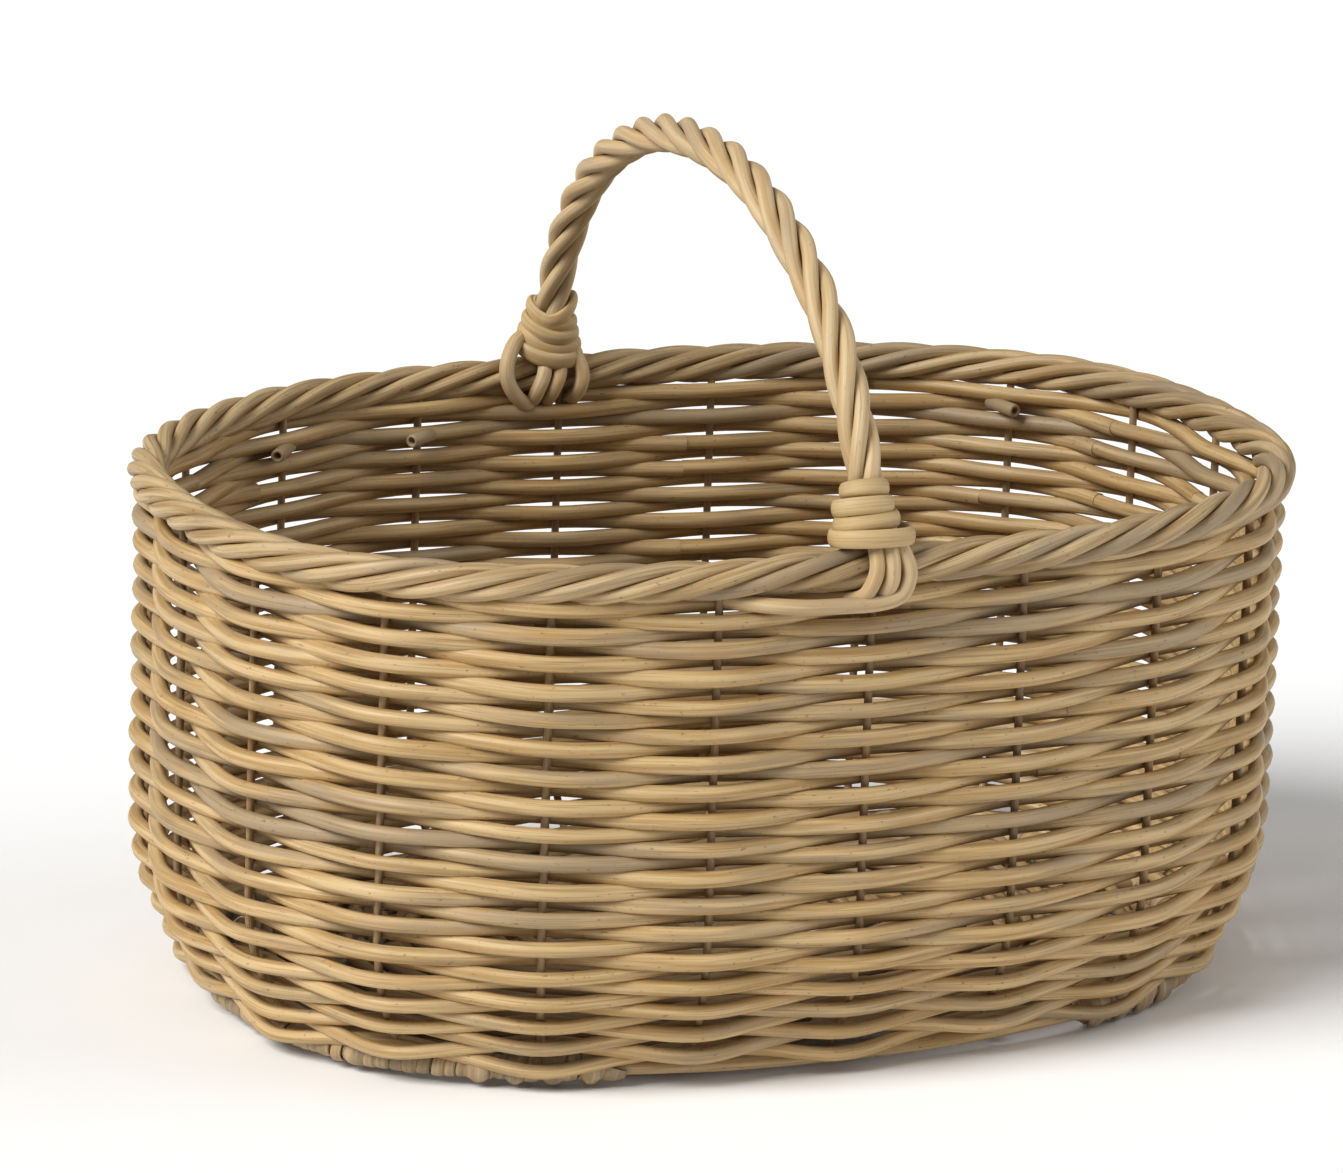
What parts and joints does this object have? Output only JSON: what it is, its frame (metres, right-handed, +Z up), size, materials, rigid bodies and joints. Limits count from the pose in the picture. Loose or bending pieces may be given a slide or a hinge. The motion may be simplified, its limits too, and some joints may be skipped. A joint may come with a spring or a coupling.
{
  "type": "egg collection basket",
  "caption": "Oval rod-woven basket with a roped border, a wrapped oval base and one fixed twisted handle arched across its middle.",
  "frame": {"origin": "on the ground under the middle of the basket", "axes": "+X along the basket, +Y across it in the plane of the handle, +Z up"},
  "size_m": [0.4597, 0.3916, 0.3391],
  "materials": {
    "weaver_rod": "unpeeled cane rod, pale honey brown with some greyish rods, low sheen",
    "border_rod": "unpeeled cane rod, slightly greyer honey brown, low sheen",
    "handle_cane": "smooth cane rod, pale warm tan, soft sheen",
    "binding_cane": "flat split cane, pale tan with fine lengthwise grain",
    "stake_rod": "thin cane rod, darker brown, matt",
    "cut_end": "greyed cut end of a hollow rod, matt"
  },
  "bodies": {
    "root": {"base_frame": "stake_rod", "base_cross_sticks": "stake_rod", "base_long_sticks": "stake_rod", "base_weave": "weaver_rod", "left_foot_binding": "binding_cane", "right_foot_binding": "binding_cane", "side_stakes": "stake_rod", "weaver_row_01": "weaver_rod", "weaver_row_02": "weaver_rod", "weaver_row_03": "weaver_rod", "weaver_row_04": "weaver_rod", "weaver_row_05": "weaver_rod", "weaver_row_06": "weaver_rod", "weaver_row_07": "weaver_rod", "weaver_row_08": "weaver_rod", "weaver_row_09": "weaver_rod", "weaver_row_10": "weaver_rod", "weaver_row_11": "weaver_rod", "weaver_row_12": "weaver_rod", "weaver_row_13": "weaver_rod", "weaver_row_14": "weaver_rod", "weaver_row_15": "weaver_rod", "weaver_row_16": "weaver_rod", "weaver_row_17": "weaver_rod", "weaver_row_18": "weaver_rod", "weaver_row_19": "weaver_rod", "weaver_row_20": "weaver_rod", "weaver_row_21": "weaver_rod", "weaver_row_22": "weaver_rod", "weaver_row_23": "weaver_rod", "weaver_row_24": "weaver_rod", "weaver_row_25": "weaver_rod", "weaver_row_26": "weaver_rod", "weaver_row_27": "weaver_rod", "weaver_row_28": "weaver_rod", "weaver_row_29": "weaver_rod", "weaver_row_30": "weaver_rod", "weaver_row_31": "weaver_rod", "weaver_row_32": "weaver_rod", "weaver_row_33": "weaver_rod", "weaver_row_34": "weaver_rod", "weaver_row_35": "weaver_rod", "weaver_butt_ends": "cut_end", "border_core": "stake_rod", "border_rod_1": "border_rod", "border_rod_2": "border_rod", "border_rod_3": "border_rod", "border_rod_4": "border_rod", "border_rod_5": "border_rod", "handle_bow": "stake_rod", "handle_strand_1": "handle_cane", "handle_strand_2": "handle_cane", "handle_strand_3": "handle_cane", "handle_strand_4": "handle_cane", "front_neck_binding": "binding_cane", "back_neck_binding": "binding_cane"}
  },
  "joints": []
}
